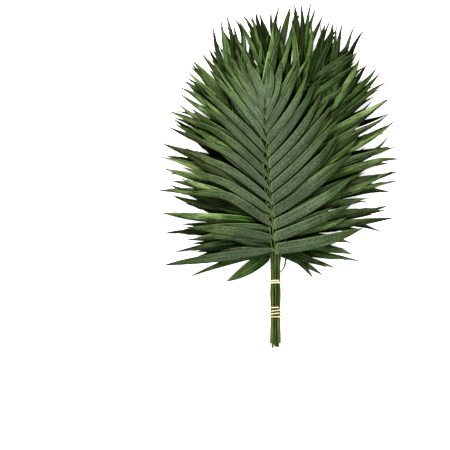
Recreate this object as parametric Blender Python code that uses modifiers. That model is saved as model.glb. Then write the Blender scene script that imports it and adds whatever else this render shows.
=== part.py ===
"""A tied bunch of chamaedorea palm leaves, lying on a table with its leaf tips along +Y.

Ten fronds are laid one over the other. Each frond keeps to a curved sheet of its own, a little
above the sheet of the frond below it, so that no leaflet cuts through another frond.
The origin is on the table, under the first turn of the upper tie.
"""

import math
import random
from collections import namedtuple

import bmesh
import bpy

# Driving dimensions, in metres.
STEM_BELOW_TIE = 0.114
TIE_TO_BLADE = 0.052
PETIOLE_RADIUS = 0.0021
BLADE_BASE_RADIUS = 0.00155
RACHIS_TIP_RADIUS = 0.0008
LEAFLET_LENGTH = 0.195
LEAFLET_WIDTH = 0.0175
BLADE_THICKNESS = 0.0007
GAP = 0.0003

# The stack of sheets: how far apart they lie, and how the lowest one is arched off the table.
PITCH_AT_EDGE = 0.0028
PITCH_AT_SPINE = 0.0031
SPINE_HALF_WIDTH = 0.085
ARCH_HEIGHT = 0.012
ARCH_MIDDLE = (0.008, 0.229)
ARCH_HALF_SIZE = (0.165, 0.220)
TILT_ROOM = 0.0003
SHEET_FOOT = TILT_ROOM + BLADE_THICKNESS / 2 - PITCH_AT_EDGE / 2

# The bundle of stems: three rows, packed like pencils in a box.
STEM_PITCH = 2 * PETIOLE_RADIUS + GAP
ROW_PITCH = STEM_PITCH * math.sin(math.radians(60))
ROW_HALF_COUNTS = (1.0, 1.5, 1.0)
BULGE_BETWEEN_TIES = 0.10
SPLAY_AT_CUT = 0.14
CUT_VARIATION = 0.007
RISE_STARTS = 0.003
RISE_SHARES = (0.25, 0.5, 0.75, 1.0)
RACHIS_SEGMENTS = 7
PLAN_STEP = 0.002

# The ties. A turn stands out from the groove beside it.
TURN_THICKNESS = 0.0015
GROOVE_THICKNESS = 0.0007
UPPER_TURNS = 2
UPPER_TURN_WIDTH = 0.0030
UPPER_TURN_PITCH = 0.0044
UPPER_TIE_END = -UPPER_TURN_PITCH * (UPPER_TURNS - 1) - UPPER_TURN_WIDTH / 2
LOWER_TURNS = 4
LOWER_TURN_WIDTH = 0.0024
LOWER_TURN_PITCH = 0.0056
LOWER_TIE_START = -0.046
LOWER_TIE_END = -0.067
CORNER_STEPS = 3
CORNER_ARC = 60
BUNDLE_BASE_Z = TURN_THICKNESS + GAP + PETIOLE_RADIUS

# The leaflets of a frond. The spread is an angle from the rachis, as a share of the frond's own.
SPREAD_AT_BASE = 1.24
SPREAD_LOSS = 0.64
SPREAD_CLOSING = 0.27
CLOSING_POWER = 8
FIRST_PAIR_EXTRA = 0.42
FIRST_PAIR_REACH = 0.12
FIRST_PAIR_LENGTH = 0.80
FULL_LENGTH_FROM = 0.15
LENGTH_LOSS = 0.37
NODE_CROWDING = 0.28
LAST_NODE = 0.995
PAIR_OFFSET = 0.15
WIDTH_SHARE = 0.95
WIDEST_AT = 0.3
LEAST_WIDTH = 0.0056
ROOT_SHARE = 0.68
SIDE_TILT = 0.06
# Shares of the length past the root, with the share of the full width there.
STATIONS = ((0.12, 0.97), (0.46, 0.94), (0.78, 0.58), (1.0, 0.0))
AXIS_STEPS = 5
ANGLE_JITTER = math.radians(2.0)
LENGTH_JITTER = 0.04
SEED = 7

# One frond: its place in the bundle, the way its stalk leans and then bends from +Y toward +X in
# degrees, its rachis and leaflet size, its leaflets a side, and for each side the spread and the
# turn of its leaflets in degrees. A turn above zero bends them away from the frond's tip.
Frond = namedtuple("Frond", "row slot lean bend curl rachis size pairs left right")
FRONDS = (
    Frond(0, 0.0, 2, 3, 1.0, 0.272, 1.00, 12, (56, 4), (56, 2)),
    Frond(0, -1.0, -10, -3, 1.0, 0.262, 1.00, 12, (60, 4), (46, -6)),
    Frond(0, 1.0, 13, 5, 1.0, 0.250, 1.00, 12, (46, -8), (62, 3)),
    Frond(1, -0.5, -1, 0, 1.0, 0.304, 0.98, 13, (52, 4), (50, -4)),
    Frond(1, 0.5, 7, 3, 1.0, 0.284, 1.00, 12, (44, 2), (58, 0)),
    Frond(1, -1.5, -14, -2, 1.0, 0.255, 0.98, 12, (54, 8), (46, -10)),
    Frond(1, 1.5, 17, 5, 1.0, 0.258, 1.02, 13, (46, -10), (60, -6)),
    Frond(2, 1.0, 2, 34, 3.0, 0.302, 0.96, 14, (44, 4), (54, -6)),
    Frond(2, -1.0, -7.5, 5, 1.0, 0.256, 0.98, 14, (46, 8), (54, -8)),
    Frond(2, 0.0, -5.5, 3, 1.0, 0.252, 1.00, 15, (40, 17), (60, -20)),
)

# The lowest and the top frond's colour. Those between are mixed from them.
LEAF_COLOURS = ((0.052, 0.082, 0.030, 1.0), (0.075, 0.110, 0.045, 1.0))
LEAF_ROUGHNESS = 0.45
TIE_COLOUR = (0.86, 0.78, 0.45, 1.0)
TIE_ROUGHNESS = 0.6
WELD_DISTANCE = 0.000001


def clear_scene():
    """Remove every object, so that only the bunch is in the scene."""
    for ob in list(bpy.data.objects):
        bpy.data.objects.remove(ob, do_unlink=True)


def new_collection(name):
    """A collection in the scene."""
    made = bpy.data.collections.new(name)
    bpy.context.scene.collection.children.link(made)
    return made


def make_material(name, colour, roughness):
    """A Principled material that isn't metal."""
    made = bpy.data.materials.new(name)
    made.use_nodes = True
    shader = made.node_tree.nodes["Principled BSDF"]
    shader.inputs["Base Color"].default_value = colour
    shader.inputs["Roughness"].default_value = roughness
    shader.inputs["Metallic"].default_value = 0.0
    made.diffuse_color = colour
    return made


def smooth(share):
    """0 to 1 with level ends."""
    held = min(1.0, max(0.0, share))
    return held * held * (3.0 - 2.0 * held)


def mix(first, second, share):
    """The value between two others."""
    return first + (second - first) * share


def pitch(x, y):
    """The distance between two neighbouring sheets at a place."""
    across = math.exp(-((x / SPINE_HALF_WIDTH) ** 2))
    return mix(PITCH_AT_EDGE, PITCH_AT_SPINE, across)


def arch(x, y):
    """How far the lowest sheet stands off the table at a place."""
    across = (x - ARCH_MIDDLE[0]) / ARCH_HALF_SIZE[0]
    along = (y - ARCH_MIDDLE[1]) / ARCH_HALF_SIZE[1]
    return ARCH_HEIGHT * smooth(1.0 - across * across - along * along)


def sheet_height(level, x, y):
    """The height of a frond's sheet at a place. The lowest frond has level 0."""
    return SHEET_FOOT + arch(x, y) + (level + 0.5) * pitch(x, y)


def bundle_place(frond):
    """A stem's place in the bundle at a tie, as x and z."""
    return frond.slot * STEM_PITCH, BUNDLE_BASE_Z + frond.row * ROW_PITCH


def bundle_spread(y):
    """How far the stems stand apart below the upper tie, as a share of their places at a tie."""
    if y > LOWER_TIE_START:
        between = y / LOWER_TIE_START
        return 1.0 + BULGE_BETWEEN_TIES * math.sin(math.pi * between) ** 2
    below = (LOWER_TIE_END - y) / (STEM_BELOW_TIE + LOWER_TIE_END)
    return 1.0 + SPLAY_AT_CUT * smooth(below)


def risen(along):
    """How far the stalk has left the bundle for its own sheet, from 0 to 1."""
    return smooth((along - RISE_STARTS) / (TIE_TO_BLADE - RISE_STARTS))


def heading(frond, along):
    """The stalk's direction from +Y toward +X, at a distance past the upper tie."""
    lean = math.radians(frond.lean) * risen(along)
    blade = max(0.0, along - TIE_TO_BLADE) / frond.rachis
    return lean + math.radians(frond.bend) * blade**frond.curl


def stalk_place(frond, along):
    """Where the stalk is in plan, found by steps along its direction."""
    x = bundle_place(frond)[0]
    y = 0.0
    steps = max(1, round(along / PLAN_STEP))
    for step in range(steps):
        turned = heading(frond, along * (step + 0.5) / steps)
        x += math.sin(turned) * along / steps
        y += math.cos(turned) * along / steps
    return x, y


def stalk_point(frond, level, along):
    """A point of the stalk's middle line. Below zero, along is a distance below the upper tie."""
    place_x, place_z = bundle_place(frond)
    if along <= RISE_STARTS:
        spread = bundle_spread(min(0.0, along))
        middle_z = BUNDLE_BASE_Z + ROW_PITCH
        return place_x * spread, along, middle_z + (place_z - middle_z) * spread
    x, y = stalk_place(frond, along)
    return x, y, mix(place_z, sheet_height(level, x, y), risen(along))


def stalk_radius(frond, along):
    """The stalk's radius: even along the stem, thinner to the blade and on to the tip."""
    if along < TIE_TO_BLADE:
        return mix(PETIOLE_RADIUS, BLADE_BASE_RADIUS, max(0.0, along / TIE_TO_BLADE))
    share = (along - TIE_TO_BLADE) / frond.rachis
    return mix(BLADE_BASE_RADIUS, RACHIS_TIP_RADIUS, share)


def stalk_stations(frond, draw):
    """Distances from the upper tie, below zero toward the cut end, where the stalk has a point."""
    cut = -STEM_BELOW_TIE + draw.uniform(-CUT_VARIATION, CUT_VARIATION)
    below = [cut, mix(cut, LOWER_TIE_END, 0.5), LOWER_TIE_END, LOWER_TIE_START]
    stem = below + [LOWER_TIE_START / 2, UPPER_TIE_END, RISE_STARTS]
    rise = [TIE_TO_BLADE * share for share in RISE_SHARES]
    lengths = [frond.rachis * (step + 1) / RACHIS_SEGMENTS for step in range(RACHIS_SEGMENTS)]
    return stem + rise + [TIE_TO_BLADE + length for length in lengths]


def make_stalk(name, frond, level, draw, collection):
    """The petiole and rachis as one tube, made a mesh with welded caps."""
    data = bpy.data.curves.new(name, "CURVE")
    data.dimensions = "3D"
    data.twist_mode = "Z_UP"
    data.bevel_depth = 1.0
    data.bevel_resolution = 1
    data.use_fill_caps = True
    spline = data.splines.new("POLY")
    stations = stalk_stations(frond, draw)
    spline.points.add(len(stations) - 1)
    for point, along in zip(spline.points, stations):
        point.co = (*stalk_point(frond, level, along), 1.0)
        point.radius = stalk_radius(frond, along)
    curve = bpy.data.objects.new(name + "_line", data)
    collection.objects.link(curve)
    stalk = mesh_from(curve, name, collection)
    weld(stalk.data)
    bpy.data.objects.remove(curve, do_unlink=True)
    return stalk


def weld(mesh):
    """Join the loose caps of a tube that was a curve."""
    shape = bmesh.new()
    shape.from_mesh(mesh)
    bmesh.ops.remove_doubles(shape, verts=shape.verts, dist=WELD_DISTANCE)
    shape.to_mesh(mesh)
    shape.free()


def mesh_from(source, name, collection):
    """A mesh object from what another object evaluates to."""
    graph = bpy.context.evaluated_depsgraph_get()
    mesh = bpy.data.meshes.new_from_object(source.evaluated_get(graph))
    made = bpy.data.objects.new(name, mesh)
    made.matrix_world = source.matrix_world
    collection.objects.link(made)
    return made


def spread_share(share):
    """A leaflet's spread along the rachis: wide at the blade's base, closing at its tip."""
    first = FIRST_PAIR_EXTRA * math.exp(-share / FIRST_PAIR_REACH)
    return SPREAD_AT_BASE - SPREAD_LOSS * share - SPREAD_CLOSING * share**CLOSING_POWER + first


def length_share(share):
    """A leaflet's length along the rachis: longest low down, shorter at both ends."""
    low = mix(FIRST_PAIR_LENGTH, 1.0, min(1.0, share / FULL_LENGTH_FROM))
    return low * (1.0 - LENGTH_LOSS * share * share)


def node_place(frond, count):
    """Where a leaflet grows on the rachis, as a share of it. The nodes crowd toward the tip."""
    share = min(1.0, max(0.0, count / (frond.pairs - 1)))
    return (1.0 + NODE_CROWDING) * share - NODE_CROWDING * share * share


def leaflet_axis(root, start, turn, length):
    """A leaflet's middle line in plan: place, direction and width share at each station."""
    found = []
    x, y = root
    before = 0.0
    for share, width in STATIONS:
        stride = length * (share - before) / AXIS_STEPS
        for step in range(AXIS_STEPS):
            at = mix(before, share, (step + 0.5) / AXIS_STEPS)
            x += math.sin(start + turn * at) * stride
            y += math.cos(start + turn * at) * stride
        before = share
        found.append((x, y, start + turn * share, width))
    return found


def leaflet_mesh(name, level, root, axis, width, side):
    """A leaflet as an open strip on its frond's sheet, tilted so that each lies on the next.

    root holds the leaflet's two corners on the rachis.
    """
    shape = bmesh.new()
    rows = [[shape.verts.new((x, y, sheet_height(level, x, y))) for x, y in root]]
    for x, y, turned, share in axis:
        half = width * share / 2
        row = []
        for edge in (-1, 1) if share > 0.0 else (0,):
            px = x + math.cos(turned) * half * edge
            py = y - math.sin(turned) * half * edge
            pz = sheet_height(level, px, py) - SIDE_TILT * half * edge * side
            row.append(shape.verts.new((px, py, pz)))
        rows.append(row)
    for low, high in zip(rows, rows[1:]):
        shape.faces.new(low[::-1] + high)
    bmesh.ops.triangulate(shape, faces=shape.faces)
    mesh = bpy.data.meshes.new(name)
    shape.to_mesh(mesh)
    shape.free()
    return mesh


def make_leaflet(name, frond, level, count, side, draw, collection):
    """One leaflet as a solid blade, its root in the middle of the rachis."""
    share = node_place(frond, count + PAIR_OFFSET * (side > 0))
    gap = abs(node_place(frond, count + 0.5) - node_place(frond, count - 0.5)) * frond.rachis
    along = TIE_TO_BLADE + frond.rachis * min(share, LAST_NODE)
    spread, turn = frond.right if side > 0 else frond.left
    angle = math.radians(spread) * spread_share(share) + draw.uniform(-1, 1) * ANGLE_JITTER
    grown = 1.0 + draw.uniform(-1, 1) * LENGTH_JITTER
    length = LEAFLET_LENGTH * frond.size * length_share(share) * grown
    bent = math.radians(turn)
    room = gap * abs(math.sin(angle + bent * WIDEST_AT)) * WIDTH_SHARE
    width = min(LEAFLET_WIDTH, max(LEAST_WIDTH, room))
    start = heading(frond, along) + side * angle
    reach = min(width * ROOT_SHARE / math.sin(angle), gap) / 2
    root = [stalk_place(frond, along - reach * edge * side) for edge in (-1, 1)]
    axis = leaflet_axis(stalk_place(frond, along), start, side * bent, length)
    mesh = leaflet_mesh(name, level, root, axis, width, side)
    blade = bpy.data.objects.new(name, mesh)
    collection.objects.link(blade)
    solid = blade.modifiers.new("thickness", "SOLIDIFY")
    solid.thickness = BLADE_THICKNESS
    solid.offset = 0.0
    return blade


def fuse(stalk, blades, name, collection):
    """Join the leaflets to the stalk in one closed body."""
    union = stalk.modifiers.new("leaflets", "BOOLEAN")
    union.operation = "UNION"
    union.solver = "MANIFOLD"
    union.operand_type = "COLLECTION"
    union.collection = blades
    return mesh_from(stalk, name, collection)


def make_frond(number, frond, collection, cutters):
    """One frond: petiole, rachis and leaflets, grown as one piece."""
    name = f"frond_{number + 1:02d}"
    draw = random.Random(SEED * 100 + number)
    stalk = make_stalk(name + "_stalk", frond, number, draw, cutters)
    blades = new_collection(name + "_leaflets")
    for count in range(frond.pairs):
        for side in (-1, 1):
            blade_name = f"{name}_leaflet_{count}_{side}"
            make_leaflet(blade_name, frond, number, count, side, draw, blades)
    made = fuse(stalk, blades, name, collection)
    for ob in [*blades.objects, stalk]:
        bpy.data.objects.remove(ob, do_unlink=True)
    bpy.data.collections.remove(blades)
    made.data.materials.clear()
    shade = number / (len(FRONDS) - 1)
    low, high = LEAF_COLOURS
    colour = tuple(mix(a, b, shade) for a, b in zip(low, high))
    made.data.materials.append(make_material(name, colour, LEAF_ROUGHNESS))
    return made


def bundle_outline(offset):
    """Points round the six corner stems of the bundle, at a distance from their middles."""
    corners = (
        (0, ROW_HALF_COUNTS[0], -90),
        (1, ROW_HALF_COUNTS[1], -30),
        (2, ROW_HALF_COUNTS[2], 30),
        (2, -ROW_HALF_COUNTS[2], 90),
        (1, -ROW_HALF_COUNTS[1], 150),
        (0, -ROW_HALF_COUNTS[0], 210),
    )
    points = []
    for row, slot, first in corners:
        for step in range(CORNER_STEPS):
            angle = math.radians(first + CORNER_ARC * step / (CORNER_STEPS - 1))
            x = slot * STEM_PITCH + offset * math.cos(angle)
            z = BUNDLE_BASE_Z + row * ROW_PITCH + offset * math.sin(angle)
            points.append((x, z))
    return points


def make_tie(name, first_y, turns, turn_width, turn_pitch, collection):
    """A tie as one closed band round the stems, with a ridge for each of its turns."""
    inner = PETIOLE_RADIUS + GAP
    first_edge = first_y + turn_width / 2
    last_edge = first_y - turn_pitch * (turns - 1) - turn_width / 2
    rings = [(first_edge, 0.0)]
    for turn in range(turns):
        middle = first_y - turn_pitch * turn
        rings += [(middle + turn_width / 2, TURN_THICKNESS), (middle - turn_width / 2, TURN_THICKNESS)]
        if turn < turns - 1:
            groove = middle - turn_pitch / 2
            rings.append((groove, GROOVE_THICKNESS))
    rings.append((last_edge, 0.0))
    shape = bmesh.new()
    loops = []
    for y, thickness in rings:
        loops.append([shape.verts.new((x, y, z)) for x, z in bundle_outline(inner + thickness)])
    loops.append(loops[0])
    for first, second in zip(loops, loops[1:]):
        for at in range(len(first)):
            after = (at + 1) % len(first)
            shape.faces.new((first[at], first[after], second[after], second[at]))
    bmesh.ops.recalc_face_normals(shape, faces=shape.faces)
    mesh = bpy.data.meshes.new(name)
    shape.to_mesh(mesh)
    shape.free()
    mesh.materials.append(make_material(name, TIE_COLOUR, TIE_ROUGHNESS))
    tie = bpy.data.objects.new(name, mesh)
    collection.objects.link(tie)
    return tie


def main():
    """Build the bunch."""
    clear_scene()
    bunch = new_collection("chamaedorea_bunch")
    cutters = new_collection("cutters")
    for number, frond in enumerate(FRONDS):
        make_frond(number, frond, bunch, cutters)
    make_tie("tie_upper", 0.0, UPPER_TURNS, UPPER_TURN_WIDTH, UPPER_TURN_PITCH, bunch)
    first_lower = LOWER_TIE_START - LOWER_TURN_WIDTH / 2
    make_tie("tie_lower", first_lower, LOWER_TURNS, LOWER_TURN_WIDTH, LOWER_TURN_PITCH, bunch)


main()
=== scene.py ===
"""The looks of a tied bunch of chamaedorea palm leaves: leaflets with folds, veins and split tips,
stalks with their nodes and cut faces, and wound ties, on a pale floor under soft studio light.

Each frond repeats the course and the curved sheet of its solid, so each piece lies where its node
is, and the two top fronds lift up to 3 mm off their sheets. Lengths are in metres, +Y runs from
the cut stems to the leaf tips and +Z is up.
"""

import math
from collections import namedtuple

import bpy
import numpy as np
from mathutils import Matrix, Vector


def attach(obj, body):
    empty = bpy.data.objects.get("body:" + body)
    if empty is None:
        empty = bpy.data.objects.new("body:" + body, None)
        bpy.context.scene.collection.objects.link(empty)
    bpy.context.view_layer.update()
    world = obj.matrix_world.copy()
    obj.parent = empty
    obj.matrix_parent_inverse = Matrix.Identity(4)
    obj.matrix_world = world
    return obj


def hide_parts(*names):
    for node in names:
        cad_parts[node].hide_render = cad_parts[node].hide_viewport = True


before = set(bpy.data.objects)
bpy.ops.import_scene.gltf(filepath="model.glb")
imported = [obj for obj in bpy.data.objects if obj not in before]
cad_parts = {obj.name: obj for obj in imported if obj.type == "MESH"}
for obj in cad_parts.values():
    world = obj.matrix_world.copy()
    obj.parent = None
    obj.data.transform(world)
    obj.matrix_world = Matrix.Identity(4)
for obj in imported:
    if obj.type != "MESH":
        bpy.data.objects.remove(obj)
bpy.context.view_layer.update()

# The photograph's frame: pixels, the real size of one, and where the upper tie's first turn is.
PHOTO_PIXELS = 450
PIXEL = 0.00175
TIE_PIXEL = (275.5, 280.5)

# The fronds' courses and sheets, with the values of the solids.
TIE_TO_BLADE = 0.052
PETIOLE_RADIUS = 0.0021
BLADE_BASE_RADIUS = 0.00155
RACHIS_TIP_RADIUS = 0.0008
STEM_BELOW_TIE = 0.114
CUT_VARIATION = 0.007
GAP = 0.0003
PITCH_AT_EDGE = 0.0028
PITCH_AT_SPINE = 0.0031
SPINE_HALF_WIDTH = 0.085
ARCH_HEIGHT = 0.012
ARCH_MIDDLE = (0.008, 0.229)
ARCH_HALF_SIZE = (0.165, 0.220)
LOWEST_SHEET = 0.00065
SHEET_FOOT = LOWEST_SHEET - PITCH_AT_EDGE / 2
STEM_PITCH = 2 * PETIOLE_RADIUS + GAP
ROW_PITCH = STEM_PITCH * math.sin(math.radians(60))
TIE_UNDER_STEMS = 0.0018
BUNDLE_BASE_Z = TIE_UNDER_STEMS + PETIOLE_RADIUS
BULGE_BETWEEN_TIES = 0.10
SPLAY_AT_CUT = 0.14
LOWER_TIE_START = -0.046
LOWER_TIE_END = -0.067
RISE_STARTS = 0.003
LEAN_DELAY = 0.012

# The leaflets' sizes and their shares along the rachis. Most are those of the solids.
LEAFLET_LENGTH = 0.181
LEAFLET_WIDTH = 0.0195
SPREAD_AT_BASE = 1.24
SPREAD_LOSS = 0.64
CLOSING_POWER = 8
FIRST_PAIR_EXTRA = 0.42
FIRST_PAIR_REACH = 0.12
FULL_LENGTH_FROM = 0.26
CROWDING_POWER = 4
LAST_NODE = 0.995
PAIR_OFFSET = 0.15
WIDEST_AT = 0.3

Frond = namedtuple("Frond", "row slot lean bend curl rachis size left right")
FRONDS = (
    Frond(0, 0.0, 2, 3, 1.0, 0.272, 1.00, (56, 4), (56, 2)),
    Frond(0, -1.0, -10, -3, 1.0, 0.262, 1.00, (60, 4), (46, -6)),
    Frond(0, 1.0, 13, 5, 1.0, 0.250, 1.00, (46, -8), (62, 3)),
    Frond(1, -0.5, -1, 0, 1.0, 0.304, 0.98, (52, 4), (50, -4)),
    Frond(1, 0.5, 7, 3, 1.0, 0.284, 1.00, (44, 2), (58, 0)),
    Frond(1, -1.5, -14, -2, 1.0, 0.255, 0.98, (54, 8), (46, -10)),
    Frond(1, 1.5, 17, 5, 1.0, 0.258, 1.02, (46, -10), (60, -6)),
    Frond(2, 1.0, 2, 34, 3.0, 0.302, 0.96, (44, 4), (54, -6)),
    Frond(2, -1.0, -7.5, 5, 1.0, 0.256, 0.98, (46, 8), (54, -8)),
    Frond(2, 0.0, -5.5, 3, 1.0, 0.252, 1.00, (40, 17), (60, -20)),
)

# How each frond looks. Pairs is its leaflets a side, depth how deep its green is, the less grey painted
# sheen its leaflets get and the wider their painted shade spreads, lift how far it stands off its sheet
# under the arch's middle, and crumple how twisted and uneven its leaflets are.
# Yellow, loss, lowest and room_shares have a value for the left side and one for the right: how
# yellow the leaflets are, how much shorter they are at the frond's tip, how long the lowest are,
# and how much of the room between two nodes one may fill. Taper is how late and how fast a leaflet
# narrows. The roots' widths are toward the frond's base and toward its tip. Crowding is how much
# the nodes crowd at the frond's tip, closing how far the leaflets there lie along the rachis, and
# tip_width how wide they are.
Look = namedtuple(
    "Look",
    "pairs depth yellow lift crumple taper loss lowest left_root right_root "
    "crowding closing tip_width room_shares",
)
WIDE_ROOTS = ((0.62, 0.62), (0.62, 0.62))
CLOSED_ROOTS = ((0.95, 0.95), (0.95, 0.95))
TOP_ROOTS = ((0.03, 0.66), (0.95, 0.92))
SLIM = (3.4, 1.12)
FULL = (3.8, 1.0)
CROWDED = (0.27, 0.36, 0.70, (1.34, 1.18))
EVEN = (0.0, 0.28, 0.92, (1.03, 1.03))
LOOKS = (
    Look(20, 1.00, (0.20, 0.30), 0.0, 0.6, SLIM, (0.09, 0.07), (0.86, 0.68), *CLOSED_ROOTS, *CROWDED),
    Look(20, 0.92, (0.50, 0.40), 0.0, 0.8, SLIM, (0.34, 0.11), (0.90, 0.68), *CLOSED_ROOTS, *CROWDED),
    Look(20, 1.00, (0.30, 0.60), 0.0, 0.9, SLIM, (0.10, 0.36), (0.84, 0.56), *CLOSED_ROOTS, *CROWDED),
    Look(20, 0.95, (0.30, 0.40), 0.0, 0.7, SLIM, (0.27, 0.25), (0.80, 0.60), *WIDE_ROOTS, *CROWDED),
    Look(20, 0.95, (0.40, 0.60), 0.0, 0.9, SLIM, (0.08, 0.30), (0.84, 0.56), *WIDE_ROOTS, *CROWDED),
    Look(20, 0.85, (0.70, 0.40), 0.0, 0.9, SLIM, (0.38, 0.11), (0.92, 0.68), *WIDE_ROOTS, *CROWDED),
    Look(20, 0.90, (0.30, 0.75), 0.0, 0.9, SLIM, (0.12, 0.38), (0.84, 0.54), *WIDE_ROOTS, *CROWDED),
    Look(18, 0.85, (0.20, 0.55), 0.0, 0.8, SLIM, (0.30, 0.42), (0.60, 0.55), *WIDE_ROOTS, *CROWDED),
    Look(18, 0.40, (1.30, 0.45), 0.0030, 0.7, SLIM, (0.34, 0.12), (0.80, 0.60), *WIDE_ROOTS, *CROWDED),
    Look(13, 0.06, (0.40, 0.12), 0.0030, 0.14, FULL, (0.50, 0.52), (0.90, 0.74), *TOP_ROOTS, *EVEN),
)

# Leaflets that lie in a way of their own, by frond and count from the lowest, both from 0, and side,
# -1 on the left. Start is the bearing at the root from +Y toward +X and turn what the leaflet turns
# along it, in degrees.
OWN_HABITS = {
    (9, 0, -1): {"start": -94, "turn": -7, "length": 0.200, "width": 0.0175},
    (9, 1, -1): {"start": -78, "turn": -9, "length": 0.150},
    (9, 0, 1): {"start": 84, "turn": -15, "length": 0.160, "width": 0.0225},
    (1, 0, -1): {"start": -133, "turn": 18, "length": 0.098, "width": 0.0240},
    (2, 0, -1): {"start": -97, "turn": -9, "length": 0.112, "width": 0.0170},
    (4, 0, -1): {"start": -93, "turn": -12, "length": 0.128, "width": 0.0165},
    (6, 0, -1): {"start": -89, "turn": -14, "length": 0.118, "width": 0.0160},
    (1, 1, -1): {"start": -88, "turn": -8, "length": 0.140},
    (2, 1, -1): {"start": -99, "turn": -8, "length": 0.122},
    (4, 1, -1): {"start": -86, "turn": -8, "length": 0.168, "width": 0.0160},
    (7, 1, -1): {"start": -80, "turn": -7, "length": 0.172, "width": 0.0160},
    (5, 2, -1): {"start": -82, "turn": -7, "length": 0.185, "width": 0.0160},
    (8, 2, -1): {"start": -86, "turn": -8, "length": 0.150},
    (0, 0, -1): {"start": -99, "turn": -16, "length": 0.160, "width": 0.0135},
    (0, 1, -1): {"start": -99, "turn": -5, "length": 0.140},
    (0, 5, -1): {"start": -53, "turn": 0, "length": 0.181, "width": 0.0195},
    (8, 1, -1): {"start": -80, "turn": -16, "length": 0.130},
    (5, 0, -1): {"start": -86, "turn": -10, "length": 0.135},
    (8, 0, -1): {"start": -88, "turn": -12, "length": 0.120},
    (3, 0, -1): {"start": -94, "turn": -8, "length": 0.110},
    (0, 0, 1): {"start": 97, "turn": 2, "length": 0.156, "width": 0.0140},
    (1, 0, 1): {"start": 109, "turn": 16, "length": 0.104, "width": 0.0140},
    (5, 0, 1): {"start": 100, "turn": 8, "length": 0.112, "width": 0.0150},
    (7, 0, 1): {"start": 104, "turn": 14, "length": 0.092, "width": 0.0130},
    (2, 0, 1): {"start": 118, "turn": 26, "length": 0.080, "width": 0.0110},
    (4, 0, 1): {"start": 106, "turn": 4, "length": 0.110, "width": 0.0130},
    (6, 0, 1): {"start": 146, "turn": 100, "length": 0.056, "width": 0.0034},
    (3, 0, 1): {"start": 88, "turn": 3, "length": 0.125},
    (0, 1, 1): {"start": 98, "turn": 6, "length": 0.124},
    (3, 1, 1): {"start": 99, "turn": 5, "length": 0.112},
    (6, 1, 1): {"start": 97, "turn": 6, "length": 0.104},
    (4, 2, 1): {"start": 80, "turn": 1, "length": 0.196, "width": 0.0160},
    (2, 2, 1): {"start": 84, "turn": -2, "length": 0.172, "width": 0.0150},
    (3, 2, 1): {"start": 83, "turn": 1, "length": 0.178, "width": 0.0160},
    (6, 2, 1): {"start": 84, "turn": -2, "length": 0.194, "width": 0.0165},
    (6, 4, 1): {"start": 69, "turn": -3, "length": 0.190, "width": 0.0185},
    (1, 2, -1): {"start": -90, "turn": -2, "length": 0.186, "width": 0.0185},
    (5, 3, -1): {"start": -82, "turn": -5, "length": 0.183, "width": 0.0180},
    (0, 2, 1): {"start": 90, "turn": 1, "length": 0.150, "width": 0.0195},
    (0, 18, 1): {"start": 6, "turn": 1, "length": 0.155, "width": 0.0145},
}

# A leaflet's grid and form. Shares along it go from 0 at its root to 1 at its tip, and a rise is
# where something starts along it and over what length it grows to its full size.
ROWS = 24
ROW_CROWDING = 1.2
ACROSS = np.array([-1.0, -0.86, -0.68, -0.48, -0.28, -0.10, 0.0, 0.10, 0.28, 0.48, 0.68, 0.86, 1.0])
ROOT_GROWTH = 0.14
ROOT_SHEAR_ENDS = 0.18
LEAST_SHEAR_ANGLE = 0.35
LEAST_HALF_WIDTH = 0.00018
FULL_WIDTH_RISE = (0.6, 0.4)
TEETH = 9
TOOTH_DEPTH = 0.55
TEETH_RISE = (0.6, 0.2)
BLADE_THICKNESS = 0.00036
EDGE_THINNING = 0.5
KNOB_THICKNESS = 0.0007
KNOB_LENGTH = 0.03
KNOB_HALF_WIDTH = 0.4
ROOT_SETBACK = 0.0034
SETBACK_ENDS = 0.10
SIDE_TILT = 0.075
FOLD = 0.07
CRUMPLED_FOLD = 0.26
TIERS_START = 0.52
TIER_HEIGHT = 0.0045
TIER_TILT = 2.4
TIER_RISE = (0.0, 0.3)
ELBOW = math.radians(22)
ELBOW_LOSS = 1.6
ELBOW_RISE = (0.42, 0.25)
HOOK_RISE = (0.62, 0.38)
TWIST_RISE = (0.25, 0.75)
EDGE_WAVE = 0.0006
EDGE_WAVES = 1.6
EDGE_WAVE_SHIFT = 1.3
WAVE_RISE = (0.0, 0.2)
CREASE_HEIGHT = 0.0009
LONG_CREASE = (23, 2.2)
WIDE_CREASE = (9, 1.5)
CREASE_RISE = (0.1, 0.3)
RIB_HEIGHT = 0.00008
RIB_WAVES = 3.0
TIP_LIFT = 0.0022
TIP_RISE = (0.7, 0.3)
BOW = 0.0012
FLOOR_CLEARANCE = 0.0002
SHARP_EDGE = math.radians(50)

# The seeded draws of a leaflet's habit. A least share is what the frond's crumple adds to, and a
# deviation is in degrees, apart from that of the depth of green.
SEED = 7
SEEDS_APART = 100
PHASES = 6
ANGLE_JITTER = math.radians(2.6)
ANGLE_LEAST = 0.5
ANGLE_BY_CRUMPLE = 2.0
ANGLE_AT_BASE = 0.4
TURN_JITTER = math.radians(5)
TURN_LEAST = 0.3
LENGTH_JITTER = 0.05
LENGTH_LEAST = 0.5
WIDTH_RANGE = (0.95, 1.04)
TILT_RANGE = (0.5, 1.5)
FOLD_RANGE = (0.3, 1.7)
WAVE_RANGE = (0.3, 1.3)
WAVE_LEAST = 0.5
SWAY_DEVIATION = 1.6
HOOK_DEVIATION = 9
HOOK_LEAST = 0.4
TWIST_DEVIATION = 26
ODD_SHARE = 0.22
ODD_TWIST = 55
BOW_RANGE = (-0.3, 1.0)
CRUMPLE_RANGE = (0.2, 1.0)
TIP_LEAST = 0.3
TORN_SHARE = 0.24
DEPTH_DEVIATION = 0.22
DEPTH_LEAST = 0.3
YELLOW_RANGE = (0.1, 1.6)

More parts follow.
